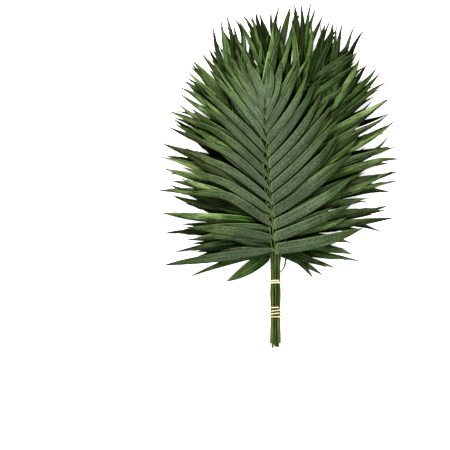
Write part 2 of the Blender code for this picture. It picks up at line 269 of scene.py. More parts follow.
# Stalks and ties. A corner of the bundle's hull is a stem's row and slot and its arc's start.
PLAN_STEP = 0.001
CUT_SHARE = 0.8
STALK_SIDES = 18
STALK_RINGS = 110
STALK_LIMIT = 1.03
RIDGES = 3
RIDGE_HEIGHT = 0.04
FLUTES = 7
FLUTE_HEIGHT = 0.02
ANY_PHASE = (0, 6)
NODE_SWELLING = 0.34
NODE_HALF_LENGTH = 0.0018
ZIGZAG = 0.0005
PALE_FROM = 0.6
PALE_REACH = 0.5
STALK_MARK_SCALE = 4.0
STALK_MARK_SHIFT = 0.5
HULL_CORNERS = ((0, 1.0, -90), (1, 1.5, -30), (2, 1.0, 30), (2, -1.0, 90), (1, -1.5, 150), (0, -1.0, 210))
CORNER_ARC = 60
CORNER_STEPS = 8
CORD_CLEARANCE = 0.0002
CORD_START = 0.30
CORD_DRIFT = 0.0004
CORD_DRIFT_WAVES = 0.7
LEVEL_START = 0.12
CORD_GROOVES = 5
CORD_GROOVE_DEPTH = 0.05
CORD_UNEVEN = 0.08
CORD_UNEVEN_WAVES = 9
LOWER_CORD_INSET = 0.0012
CORD_SIDES = 14
CORD_RINGS_A_TURN = 84
UPPER_TURNS = 2
UPPER_TURN_PITCH = 0.0044
UPPER_CORD_HALF_WIDTH = 0.00125
LOWER_TURNS = 4
LOWER_TURN_PITCH = 0.0056
LOWER_CORD_HALF_WIDTH = 0.00095
CORD_HALF_THICKNESS = 0.0006

# The leaf's colours, and its noises: waves across and along a leaflet, and detail. A shade is a
# factor and an offset for how a leaflet's own tone and painted shade vary, deep in the bunch and on its
# top.
DEEP_GREEN = (0.0022, 0.0070, 0.0008, 1.0)
LEAF_GREEN = (0.0150, 0.0340, 0.0045, 1.0)
OLIVE = (0.0260, 0.0300, 0.0050, 1.0)
PAINTED_EDGE_SHADOW = (0.0030, 0.0050, 0.0018, 1.0)
PALE_GREEN = (0.055, 0.090, 0.026, 1.0)
SHEEN_GREY_GREEN = (0.0370, 0.0520, 0.0305, 1.0)
YELLOW_GREEN = (0.074, 0.101, 0.036, 1.0)
PALE_RIB_AND_HIGHLIGHT = (0.095, 0.120, 0.055, 1.0)
UNDERSIDE = (0.040, 0.064, 0.024, 1.0)
TIP_BROWN = (0.016, 0.012, 0.005, 1.0)
LEAF_SHEEN = (0.35, 0.80, 0.15, 1.0)
FINE = (40.0, 4.0, 2.0)
VEINS = (13.0, 2.5, 2.0)
BROAD = (4.0, 3.0, 2.0)
PATCH = (1.6, 4.5, 3.0)
SPECK = (7.0, 46.0, 2.0)
DEEP_SHADE = (1.9, -0.68)
EVEN_SHADE = (0.30, 1.0)
SHADE_SEED = 7.31
OLIVE_SEED = 23.7
SEED_SPREAD = 60.0

# The colours of the stalks, cut faces, cords and paper.
STEM_DARK = (0.002, 0.006, 0.0004, 1)
STEM_STREAK_AND_HIGHLIGHT = (0.088, 0.122, 0.024, 1)
STEM_FLECK = (0.095, 0.105, 0.022, 1)
STEM_SHEEN = (0.70, 1.0, 0.40, 1.0)
RACHIS_DARK = (0.018, 0.032, 0.010, 1)
RACHIS_LIGHT = (0.036, 0.052, 0.018, 1)
NODE_PALE = (0.115, 0.140, 0.050, 1)
CUT_DARK = (0.20, 0.22, 0.09, 1)
CUT_LIGHT = (0.52, 0.52, 0.30, 1)
CORD_DARK = (0.30, 0.25, 0.11, 1)
CORD_LIGHT = (0.50, 0.45, 0.24, 1)
PAPER_DARK = (0.90, 0.90, 0.90, 1)
PAPER_LIGHT = (0.93, 0.93, 0.93, 1)
WHITE = (1.0, 1.0, 1.0, 1.0)

# The painted shade deep between leaves and stalks: how far it looks for others, when a place counts
# as open, the least light left, and how fast red, green and blue fade.
LEAF_SHADE_REACH = 0.018
STALK_SHADE_REACH = 0.0035
CREVICE_SAMPLES = 8
CREVICE_OPEN = (0.22, 1.0)
CREVICE_LEAST = 0.04
CREVICE_LOSS = (1.30, 1.05, 1.75)

# The stage. A softbox has a bearing and a height in degrees, its two sides and its power.
BUNCH_MIDDLE = (0.0, 0.2, 0.0)
SOFTBOX_DISTANCE = 2.0
KEY_LIGHT = (-22.0, 42.0, (0.9, 0.7), 118.0)
FILL_LIGHT = (168.0, 52.0, (1.4, 1.0), 46.0)
WORLD_COLOUR = (0.95, 0.97, 1.0, 1.0)
WORLD_STRENGTH = 0.36
TABLE_GLOW = 0.78
FLOOR_HALF_SIDE = 3.0
LENS = 180.0
SENSOR = 36.0
SCALE_HEIGHT = 0.02


def smooth(share):
    """0 to 1 with level ends."""
    held = np.clip(share, 0.0, 1.0)
    return held * held * (3.0 - 2.0 * held)


def ramp(along, start, length):
    """0 up to a start and 1 from a length past it, with a smooth rise between."""
    return smooth((along - start) / length)


def mix(first, second, share):
    """The value between two others."""
    return first + (second - first) * share


def pitch(x):
    """The distance between two neighbouring sheets at a place."""
    return mix(PITCH_AT_EDGE, PITCH_AT_SPINE, np.exp(-((x / SPINE_HALF_WIDTH) ** 2)))


def inside_arch(x, y):
    """1 in the middle of the bunch, falling to 0 at the edge of the arch."""
    across = (x - ARCH_MIDDLE[0]) / ARCH_HALF_SIZE[0]
    along = (y - ARCH_MIDDLE[1]) / ARCH_HALF_SIZE[1]
    return smooth(1.0 - across * across - along * along)


def sheet_height(number, x, y):
    """The height of a frond's sheet at a place, with the lift that the frond's look has."""
    lift = LOOKS[number].lift * inside_arch(x, y)
    return SHEET_FOOT + ARCH_HEIGHT * inside_arch(x, y) + (number + 0.5) * pitch(x) + lift


def bundle_place(frond):
    """A stem's place in the bundle at a tie, as x and z."""
    return frond.slot * STEM_PITCH, BUNDLE_BASE_Z + frond.row * ROW_PITCH


def bundle_spread(y):
    """How far the stems stand apart below the upper tie, as a share of their places at a tie."""
    between = 1.0 + BULGE_BETWEEN_TIES * np.sin(math.pi * y / LOWER_TIE_START) ** 2
    below = (LOWER_TIE_END - y) / (STEM_BELOW_TIE + LOWER_TIE_END)
    return np.where(y > LOWER_TIE_START, between, 1.0 + SPLAY_AT_CUT * smooth(below))


def risen(along):
    """How far the stalk has left the bundle for its own sheet, from 0 to 1."""
    return smooth((along - RISE_STARTS) / (TIE_TO_BLADE - RISE_STARTS))


def heading(frond, along):
    """The stalk's direction from +Y toward +X, at a distance past the upper tie."""
    lean = math.radians(frond.lean) * risen(along - LEAN_DELAY)
    blade = np.maximum(0.0, along - TIE_TO_BLADE) / frond.rachis
    return lean + math.radians(frond.bend) * blade**frond.curl


def plan_line(frond):
    """The stalk's course in plan: distances past the upper tie, with x and y at each."""
    along = np.arange(0.0, TIE_TO_BLADE + frond.rachis + PLAN_STEP, PLAN_STEP)
    turned = heading(frond, (along[1:] + along[:-1]) / 2)
    x = bundle_place(frond)[0] + np.concatenate(([0.0], np.cumsum(np.sin(turned) * PLAN_STEP)))
    y = np.concatenate(([0.0], np.cumsum(np.cos(turned) * PLAN_STEP)))
    return along, x, y


def stalk_place(line, along):
    """Where the stalk is in plan."""
    return np.interp(along, line[0], line[1]), np.interp(along, line[0], line[2])


def stalk_line(frond, number, line, along):
    """Points of the stalk's middle line. Below zero, along is a distance below the upper tie."""
    place_x, place_z = bundle_place(frond)
    middle_z = BUNDLE_BASE_Z + ROW_PITCH
    spread = bundle_spread(np.minimum(0.0, along))
    stem = (place_x * spread, along, middle_z + (place_z - middle_z) * spread)
    x, y = stalk_place(line, along)
    blade = (x, y, mix(place_z, sheet_height(number, x, y), risen(along)))
    return np.stack([np.where(along <= RISE_STARTS, s, b) for s, b in zip(stem, blade)], axis=-1)


def stalk_radius(frond, along):
    """The stalk's radius: even along the stem, thinner to the blade and on to the tip."""
    stem = mix(PETIOLE_RADIUS, BLADE_BASE_RADIUS, np.clip(along / TIE_TO_BLADE, 0.0, 1.0))
    share = np.clip((along - TIE_TO_BLADE) / frond.rachis, 0.0, 1.0)
    return np.where(along < TIE_TO_BLADE, stem, mix(BLADE_BASE_RADIUS, RACHIS_TIP_RADIUS, share))


def spread_share(share, closing):
    """A leaflet's spread along the rachis: wide at the blade's base, closing at its tip."""
    first = FIRST_PAIR_EXTRA * math.exp(-share / FIRST_PAIR_REACH)
    return SPREAD_AT_BASE - SPREAD_LOSS * share - closing * share**CLOSING_POWER + first


def length_share(share, lowest, loss):
    """A leaflet's length along the rachis: longest low down, shorter at both ends."""
    low = mix(lowest, 1.0, min(1.0, share / FULL_LENGTH_FROM))
    return low * (1.0 - loss * share**3)


def node_place(look, count):
    """Where a leaflet grows on the rachis, as a share of it. The nodes crowd toward the tip."""
    share = min(1.0, max(0.0, count / (look.pairs - 1)))
    return (1.0 + look.crowding) * share - look.crowding * share**CROWDING_POWER


Leaf = namedtuple(
    "Leaf",
    "number side root start turn length width roots spread tilt tier fold wave sway hook elbow "
    "twist bow crumple torn taper phase depth yellow",
)


def kept_share(value):
    """A share kept between 0 and 1."""
    return float(np.clip(value, 0, 1))


def drawn_twist(odd, draw):
    """A leaflet's twist. An odd one is turned well over to one side."""
    twist = draw.normal(0, TWIST_DEVIATION)
    if odd:
        twist += draw.choice((-1, 1)) * ODD_TWIST
    return math.radians(twist)


def own_habit(number, count, side):
    """The measures that a leaflet has of its own, in place of the rule's."""
    own = dict(OWN_HABITS.get((number, count, side), {}))
    if own:
        own["start"] = math.radians(own["start"])
        own["turn"] = math.radians(own["turn"])
        own.update(spread=abs(own["start"]), elbow=0.0, hook=0.0)
    return own


def grow_leaf(frond, number, line, count, side, draw):
    """One leaflet's measures: its place and size by rule, and its habit by seeded draws."""
    look = LOOKS[number]
    right = int(side > 0)
    share = node_place(look, count + PAIR_OFFSET * right)
    node_gap = abs(node_place(look, count + 0.5) - node_place(look, count - 0.5)) * frond.rachis
    along = TIE_TO_BLADE + frond.rachis * min(share, LAST_NODE)
    spread, turn = (frond.left, frond.right)[right]
    unrest = ANGLE_JITTER * (ANGLE_LEAST + ANGLE_BY_CRUMPLE * look.crumple * (ANGLE_AT_BASE + share))
    angle = math.radians(spread) * spread_share(share, look.closing) + draw.uniform(-1, 1) * unrest
    turned = math.radians(turn) + draw.uniform(-1, 1) * TURN_JITTER * (TURN_LEAST + look.crumple)
    uneven = 1 + draw.uniform(-1, 1) * LENGTH_JITTER * (LENGTH_LEAST + look.crumple)
    length = LEAFLET_LENGTH * frond.size * length_share(share, look.lowest[right], look.loss[right])
    room = node_gap * abs(math.sin(angle + turned * WIDEST_AT)) * look.room_shares[right]
    widest = LEAFLET_WIDTH * frond.size * mix(1.0, look.tip_width, share * share)
    width = min(widest, mix(room, widest, ramp(share, *FULL_WIDTH_RISE))) * draw.uniform(*WIDTH_RANGE)
    roots = (look.left_root, look.right_root)[right]
    crowded = min(1.0, node_gap * math.sin(angle) / width)
    odd = draw.random() < ODD_SHARE * look.crumple
    top_left = number == len(FRONDS) - 1 and side < 0
    over = float(smooth((share - TIERS_START) / (1.0 - TIERS_START)))
    leaf = Leaf(
        number=number,
        side=side,
        root=stalk_place(line, along),
        start=float(heading(frond, along)) + side * angle,
        turn=side * turned,
        length=length * uneven,
        width=width,
        roots=[root * crowded for root in roots],
        spread=angle,
        tilt=SIDE_TILT * draw.uniform(*TILT_RANGE) * (1.0 - TIER_TILT * over),
        tier=TIER_HEIGHT * over,
        fold=(FOLD + CRUMPLED_FOLD * look.crumple) * draw.uniform(*FOLD_RANGE),
        wave=EDGE_WAVE * draw.uniform(*WAVE_RANGE) * (WAVE_LEAST + look.crumple),
        sway=math.radians(draw.normal(0, SWAY_DEVIATION)),
        hook=math.radians(draw.normal(0, HOOK_DEVIATION)) * (HOOK_LEAST + look.crumple),
        elbow=side * ELBOW * top_left * max(0.0, 1.0 - ELBOW_LOSS * share),
        twist=drawn_twist(odd, draw) * look.crumple,
        bow=draw.uniform(*BOW_RANGE) * BOW,
        crumple=look.crumple * draw.uniform(*CRUMPLE_RANGE),
        torn=draw.random() < TORN_SHARE,
        taper=look.taper,
        phase=draw.uniform(0, 2 * math.pi, PHASES),
        depth=kept_share(look.depth + draw.normal(0, DEPTH_DEVIATION) * (DEPTH_LEAST + look.crumple)),
        yellow=kept_share(look.yellow[right] * draw.uniform(*YELLOW_RANGE)),
    )
    return leaf._replace(**own_habit(number, count, side))


def leaf_course(leaf, along):
    """The leaflet's middle line in plan, and its direction at each station."""
    turned = leaf.start + leaf.turn * along + leaf.sway * np.sin(2 * math.pi * along)
    turned = turned + leaf.elbow * ramp(along, *ELBOW_RISE) + leaf.hook * ramp(along, *HOOK_RISE)
    middle = (turned[1:] + turned[:-1]) / 2
    stride = leaf.length * np.diff(along)
    x = leaf.root[0] + np.concatenate(([0.0], np.cumsum(np.sin(middle) * stride)))
    y = leaf.root[1] + np.concatenate(([0.0], np.cumsum(np.cos(middle) * stride)))
    return x, y, turned


def half_widths(leaf, along):
    """Half the leaflet's width along it, toward the frond's base and toward its tip."""
    taper = (1.0 - along ** leaf.taper[0]) ** leaf.taper[1]
    halves = []
    for edge, root in enumerate(leaf.roots):
        grown = root + (1.0 - root) * (1.0 - np.exp(-along / ROOT_GROWTH))
        half = leaf.width / 2 * grown * taper
        if leaf.torn and edge == int(leaf.phase[0] > math.pi):
            teeth = np.mod(along * TEETH + leaf.phase[1], 1.0)
            half = half * (1.0 - TOOTH_DEPTH * teeth * ramp(along, *TEETH_RISE))
        halves.append(np.maximum(half, LEAST_HALF_WIDTH))
    return halves


def leaf_relief(leaf, along, across, half):
    """How far the leaflet's surface stands over its sheet: fold, tilt, waves, bow and crumple."""
    reach = np.abs(across)
    phase = leaf.phase
    relief = -leaf.fold * reach * half + leaf.tilt * across * half
    sway = np.sin(2 * math.pi * EDGE_WAVES * along + phase[1] + EDGE_WAVE_SHIFT * np.sign(across))
    relief += leaf.wave * sway * reach**2 * ramp(along, *WAVE_RISE)
    relief += leaf.bow * np.sin(math.pi * along) + leaf.tier * ramp(along, *TIER_RISE)
    creases = np.sin(LONG_CREASE[0] * along + LONG_CREASE[1] * across + phase[2])
    creases *= np.sin(WIDE_CREASE[0] * along - WIDE_CREASE[1] * across + phase[3])
    relief += CREASE_HEIGHT * leaf.crumple * creases * ramp(along, *CREASE_RISE)
    ribs = np.cos(across * math.pi * RIB_WAVES) * RIB_HEIGHT
    tip = ramp(along, *TIP_RISE) * math.sin(phase[4]) * TIP_LIFT * (TIP_LEAST + leaf.crumple)
    return relief + ribs + tip


def leaf_grid(leaf):
    """The leaflet's middle surface, as rows of points from its root to its tip."""
    along = np.linspace(0.0, 1.0, ROWS) ** ROW_CROWDING
    x, y, turned = leaf_course(leaf, along)
    low, high = half_widths(leaf, along)
    across = np.broadcast_to(ACROSS, (ROWS, len(ACROSS)))
    half = np.where(across < 0, low[:, None], high[:, None])
    twist = leaf.twist * ramp(along, *TWIST_RISE)
    reach = across * half
    root = (1.0 - smooth(along / ROOT_SHEAR_ENDS))[:, None]
    shear = reach / math.tan(max(leaf.spread, LEAST_SHEAR_ANGLE)) * root
    shear += ROOT_SETBACK * np.abs(across) * (1.0 - smooth(along / SETBACK_ENDS))[:, None]
    flat = reach * np.cos(twist)[:, None]
    north = (-leaf.side * np.cos(turned)[:, None], leaf.side * np.sin(turned)[:, None])
    px = x[:, None] + north[0] * flat + np.sin(turned)[:, None] * shear
    py = y[:, None] + north[1] * flat + np.cos(turned)[:, None] * shear
    stations = np.broadcast_to(along[:, None], across.shape)
    pz = sheet_height(leaf.number, px, py) + leaf_relief(leaf, stations, across, half)
    pz += np.sin(twist)[:, None] * reach
    return np.stack([px, py, pz], axis=-1), stations, across


def blade_solid(leaf):
    """The leaflet as a closed thin blade: its points, faces and the two sets of marks."""
    grid, along, across = leaf_grid(leaf)
    normal = np.cross(np.gradient(grid, axis=0), np.gradient(grid, axis=1)) * leaf.side
    normal /= np.linalg.norm(normal, axis=-1, keepdims=True)
    knob = np.exp(-along / KNOB_LENGTH) * np.exp(-((across / KNOB_HALF_WIDTH) ** 2))
    thickness = BLADE_THICKNESS * (1.0 - EDGE_THINNING * np.abs(across)) + KNOB_THICKNESS * knob
    top = grid + normal * thickness[..., None] / 2
    bottom = grid - normal * thickness[..., None] / 2
    sunk = FLOOR_CLEARANCE - np.minimum(bottom[..., 2], top[..., 2])
    lift = np.maximum(0.0, sunk)
    top[..., 2] += lift
    bottom[..., 2] += lift
    points = np.concatenate([top.reshape(-1, 3), bottom.reshape(-1, 3)])
    seed = np.full(along.shape, leaf.phase[5] / (2 * math.pi))
    place = np.stack([across * 0.5 + 0.5, along, seed], axis=-1).reshape(-1, 3)
    marks = np.full((*along.shape, 3), (leaf.depth, leaf.yellow, 0.0)).reshape(-1, 3)
    tones = np.concatenate([marks, marks + (0.0, 0.0, 1.0)])
    return points, blade_faces(leaf.side), np.concatenate([place, place]), tones


def blade_faces(side):
    """The faces of a closed blade of ROWS by ACROSS points on each of its two skins."""
    columns = len(ACROSS)
    index = np.arange(ROWS * columns).reshape(ROWS, columns)
    under = index + ROWS * columns
    quads = [index[:-1, :-1], index[1:, :-1], index[1:, 1:], index[:-1, 1:]]
    top = np.stack([q.ravel() for q in quads], axis=-1)
    bottom = top[:, ::-1] + ROWS * columns
    ring = np.concatenate([index[:, 0], index[-1, 1:], index[-2::-1, -1], index[0, -2::-1]])
    below = np.concatenate([under[:, 0], under[-1, 1:], under[-2::-1, -1], under[0, -2::-1]])
    rim = np.stack([ring[1:], ring[:-1], below[:-1], below[1:]], axis=-1)
    faces = np.concatenate([top, bottom, rim])
    return (faces if side > 0 else faces[:, ::-1]).tolist()


def tube(centres, widths, heights, places, tones, up):
    """A closed tube along a line, with an oval section and a flat cap at each end."""
    direction = np.gradient(centres, axis=0)
    direction /= np.linalg.norm(direction, axis=-1, keepdims=True)
    across = np.cross(direction, up)
    across /= np.linalg.norm(across, axis=-1, keepdims=True)
    upward = np.cross(across, direction)
    rings, sides = widths.shape
    angle = np.linspace(0.0, 2 * math.pi, sides, endpoint=False)
    offset = across[:, None, :] * (widths * np.cos(angle))[..., None]
    offset += upward[:, None, :] * (heights * np.sin(angle))[..., None]
    points = (centres[:, None, :] + offset).reshape(-1, 3)
    index = np.arange(rings * sides).reshape(rings, sides)
    after = np.roll(index, -1, axis=1)
    quads = [index[:-1], after[:-1], after[1:], index[1:]]
    faces = np.stack([q.ravel() for q in quads], axis=-1).tolist()
    faces.append(index[0][::-1].tolist())
    faces.append(index[-1].tolist())
    return points, faces, places.reshape(-1, 3), tones.reshape(-1, 3)


def add_object(name, data):
    """A new object in the scene for a mesh, a light or a camera."""
    made = bpy.data.objects.new(name, data)
    bpy.context.scene.collection.objects.link(made)
    return made


def build_mesh(name, parts, materials):
    """One mesh object from closed parts, with their two sets of marks as attributes. Where there is
    a second material, the first cap of each tube takes it."""
    points, faces, places, tones, cuts = [], [], [], [], []
    count = 0
    for part_points, part_faces, part_places, part_tones in parts:
        points.append(part_points)
        faces += [[corner + count for corner in face] for face in part_faces]
        cuts.append(len(faces) - 2)
        places.append(part_places)
        tones.append(part_tones)
        count += len(part_points)
    mesh = bpy.data.meshes.new(name)
    mesh.from_pydata(np.concatenate(points).tolist(), [], faces)
    for label, values in (("leaf_place", places), ("leaf_tone", tones)):
        marks = np.concatenate(values)
        colour = np.ones((len(marks), 4))
        colour[:, :3] = marks
        layer = mesh.attributes.new(label, "FLOAT_COLOR", "POINT")
        layer.data.foreach_set("color", colour.ravel())
    for material in materials:
        mesh.materials.append(material)
    if len(materials) > 1:
        for cut in cuts:
            mesh.polygons[cut].material_index = 1
    mesh.shade_smooth()
    mesh.set_sharp_from_angle(angle=SHARP_EDGE)
    return add_object(name, mesh)


def stalk_part(frond, number, line, draw):
    """The petiole and rachis, with a swelling at each pair of leaflets."""
    look = LOOKS[number]
    cut = -STEM_BELOW_TIE + draw.uniform(-CUT_VARIATION, CUT_VARIATION) * CUT_SHARE
    along = np.linspace(cut, TIE_TO_BLADE + frond.rachis, STALK_RINGS)
    radius = stalk_radius(frond, along)
    marks = np.zeros(STALK_RINGS)
    for count in range(look.pairs):
        node = TIE_TO_BLADE + frond.rachis * min(node_place(look, count), LAST_NODE)
        marks = np.maximum(marks, np.exp(-(((along - node) / NODE_HALF_LENGTH) ** 2)))
    radius = radius * (1.0 + NODE_SWELLING * marks)
    angle = np.linspace(0.0, 2 * math.pi, STALK_SIDES, endpoint=False)
    ridges = 1.0 + RIDGE_HEIGHT * np.cos(RIDGES * angle + draw.uniform(*ANY_PHASE))
    ridges += FLUTE_HEIGHT * np.cos(FLUTES * angle)
    radii = np.minimum(radius[:, None] * ridges, PETIOLE_RADIUS * STALK_LIMIT)
    centres = stalk_line(frond, number, line, along)
    blade = np.clip((along - TIE_TO_BLADE * PALE_FROM) / (frond.rachis * PALE_REACH), 0.0, 1.0)
    bends = np.sin(math.pi * look.pairs * np.clip((along - TIE_TO_BLADE) / frond.rachis, 0.0, 1.0))
    centres[:, 0] += ZIGZAG * bends
    shape = radii.shape
    around = np.broadcast_to(angle / (2 * math.pi), shape)
    length = np.broadcast_to(along[:, None] * STALK_MARK_SCALE + STALK_MARK_SHIFT, shape)
    seed = np.full(shape, draw.random())
    places = np.stack([around, length, seed], axis=-1)
    tones = np.stack([np.broadcast_to(v[:, None], shape) for v in (blade, marks, along * 0)], axis=-1)
    return tube(centres, radii, radii, places, tones, np.array([0.0, 0.0, 1.0]))


def bundle_hull(offset):
    """A smooth closed line round the bundle at a distance from its corner stems' middles."""
    points = []
    for row, slot, first in HULL_CORNERS:
        for step in range(CORNER_STEPS + 1):
            angle = math.radians(first + CORNER_ARC * step / CORNER_STEPS)
            x = slot * STEM_PITCH + offset * math.cos(angle)
            z = BUNDLE_BASE_Z + row * ROW_PITCH + offset * math.sin(angle)
            points.append((x, z))
    points.append(points[0])
    outline = np.array(points)
    length = np.concatenate(([0.0], np.cumsum(np.linalg.norm(np.diff(outline, axis=0), axis=1))))
    return outline, length / length[-1]


def cord_part(first_y, turns, turn_pitch, half_width, draw):
    """One tie: a cord wound round the bundle."""
    rings = CORD_RINGS_A_TURN * turns
    wound = np.linspace(0.0, turns, rings)
    outline, share = bundle_hull(PETIOLE_RADIUS + CORD_CLEARANCE + CORD_HALF_THICKNESS)
    x = np.interp(np.mod(wound + CORD_START, 1.0), share, outline[:, 0])
    z = np.interp(np.mod(wound + CORD_START, 1.0), share, outline[:, 1])
    drift = CORD_DRIFT * np.sin(2 * math.pi * wound * CORD_DRIFT_WAVES + draw.uniform(*ANY_PHASE))
    fallen = np.clip(wound - LEVEL_START, 0.0, turns - 1)
    y = first_y - turn_pitch * fallen + drift
    centres = np.stack([x, y, z], axis=-1)
    middle = np.array([0.0, 0.0, BUNDLE_BASE_Z + ROW_PITCH])
    outward = centres - middle
    outward[:, 1] = 0.0
    angle = np.linspace(0.0, 2 * math.pi, CORD_SIDES, endpoint=False)
    shape = (rings, CORD_SIDES)
    grooves = np.broadcast_to(1.0 + CORD_GROOVE_DEPTH * np.cos(CORD_GROOVES * angle), shape)
    uneven = 1 + CORD_UNEVEN * np.sin(wound * CORD_UNEVEN_WAVES)
    widths = half_width * grooves * uneven[:, None]
    heights = CORD_HALF_THICKNESS * grooves
    around = np.broadcast_to(angle / (2 * math.pi), shape)
    length = np.broadcast_to(wound[:, None], shape)
    places = np.stack([around, length, np.zeros(shape)], axis=-1)
    tones = np.zeros((*shape, 3))
    return tube(centres, widths, heights, places, tones, outward)


def feed(tree, socket, value):
    """Link a socket, or set its value."""
    if isinstance(value, bpy.types.NodeSocket):
        tree.links.new(value, socket)
    else:
        socket.default_value = value


def calc(tree, operation, *values):
    """A math node's result."""
    node = tree.nodes.new("ShaderNodeMath")
    node.operation = operation
    for socket, value in zip(node.inputs, values):
        feed(tree, socket, value)
    return node.outputs[0]


def blend(tree, share, first, second, kind="MIX"):
    """Two colours mixed by a share."""
    node = tree.nodes.new("ShaderNodeMix")
    node.data_type = "RGBA"
    node.blend_type = kind
    feed(tree, node.inputs[0], share)
    feed(tree, node.inputs[6], first)
    feed(tree, node.inputs[7], second)
    return node.outputs[2]


def tint(tree, colour, share, strength, other):
    """A colour with another laid over it, by a share times a strength."""
    return blend(tree, calc(tree, "MULTIPLY", share, strength), colour, other)


def reshuffled(tree, seed, factor):
    """Another number from 0 to 1, made from a seed."""
    return calc(tree, "FRACT", calc(tree, "MULTIPLY", seed, factor))


def step_up(tree, value, low, high):
    """0 at low and 1 at high, with a smooth rise between. High may be the smaller of the two."""
    node = tree.nodes.new("ShaderNodeMapRange")
    node.interpolation_type = "SMOOTHSTEP"
    feed(tree, node.inputs["Value"], value)
    node.inputs["From Min"].default_value = low
    node.inputs["From Max"].default_value = high
    return node.outputs["Result"]


def noise(tree, vector, scale, detail=2.0, roughness=0.5):
    """A noise texture's value."""
    node = tree.nodes.new("ShaderNodeTexNoise")
    tree.links.new(vector, node.inputs["Vector"])
    node.inputs["Scale"].default_value = scale
    node.inputs["Detail"].default_value = detail
    node.inputs["Roughness"].default_value = roughness
    return node.outputs[0]


def attribute(tree, name):
    """The three numbers of a mark, as sockets."""
    source = tree.nodes.new("ShaderNodeAttribute")
    source.attribute_name = name
    parts = tree.nodes.new("ShaderNodeSeparateColor")
    tree.links.new(source.outputs["Color"], parts.inputs[0])
    return parts.outputs[0], parts.outputs[1], parts.outputs[2]


def combine(tree, x, y, z):
    """A vector from three values."""
    node = tree.nodes.new("ShaderNodeCombineXYZ")
    for socket, value in zip(node.inputs, (x, y, z)):
        feed(tree, socket, value)
    return node.outputs[0]


def painted_crevice_shade(tree, reach):
    """Painted shade: white in the open and dark green deep between the leaves, where light comes off
    other leaves.
    """
    node = tree.nodes.new("ShaderNodeAmbientOcclusion")
    node.samples = CREVICE_SAMPLES
    node.inputs["Distance"].default_value = reach
    node.inputs["Color"].default_value = WHITE
    open_share = step_up(tree, node.outputs["AO"], *CREVICE_OPEN)
    open_share = calc(tree, "MAXIMUM", open_share, CREVICE_LEAST)
    return combine(tree, *(calc(tree, "POWER", open_share, loss) for loss in CREVICE_LOSS))


def new_material(name):
    """A material, its tree and its Principled shader."""
    made = bpy.data.materials.new(name)
    made.use_nodes = True
    tree = made.node_tree
    return made, tree, tree.nodes["Principled BSDF"]


def bump(tree, height, strength, distance, before=None):
    """A bump node's normal."""
    node = tree.nodes.new("ShaderNodeBump")
    node.inputs["Strength"].default_value = strength
    node.inputs["Distance"].default_value = distance
    tree.links.new(height, node.inputs["Height"])
    if before is not None:
        tree.links.new(before, node.inputs["Normal"])
    return node.outputs[0]


def leaf_noise(tree, across, along, shifted, wide, long, detail):
    """Noise in a leaflet's own frame, so many waves across it and so many along it."""
    x = calc(tree, "MULTIPLY", across, wide)
    y = calc(tree, "MULTIPLY", along, long)
    return noise(tree, combine(tree, x, y, shifted), 1.0, detail, 0.6)


def ring_noise(tree, around, along, radius, waves, detail, roughness, shifted=0.0):
    """Noise that joins up round a tube, on a ring of some radius and so many waves along it."""
    turn = calc(tree, "MULTIPLY", around, 2 * math.pi)
    x = calc(tree, "MULTIPLY_ADD", calc(tree, "COSINE", turn), radius, shifted)
    y = calc(tree, "MULTIPLY", calc(tree, "SINE", turn), radius)
    z = calc(tree, "MULTIPLY", along, waves)
    return noise(tree, combine(tree, x, y, z), 1.0, detail, roughness)


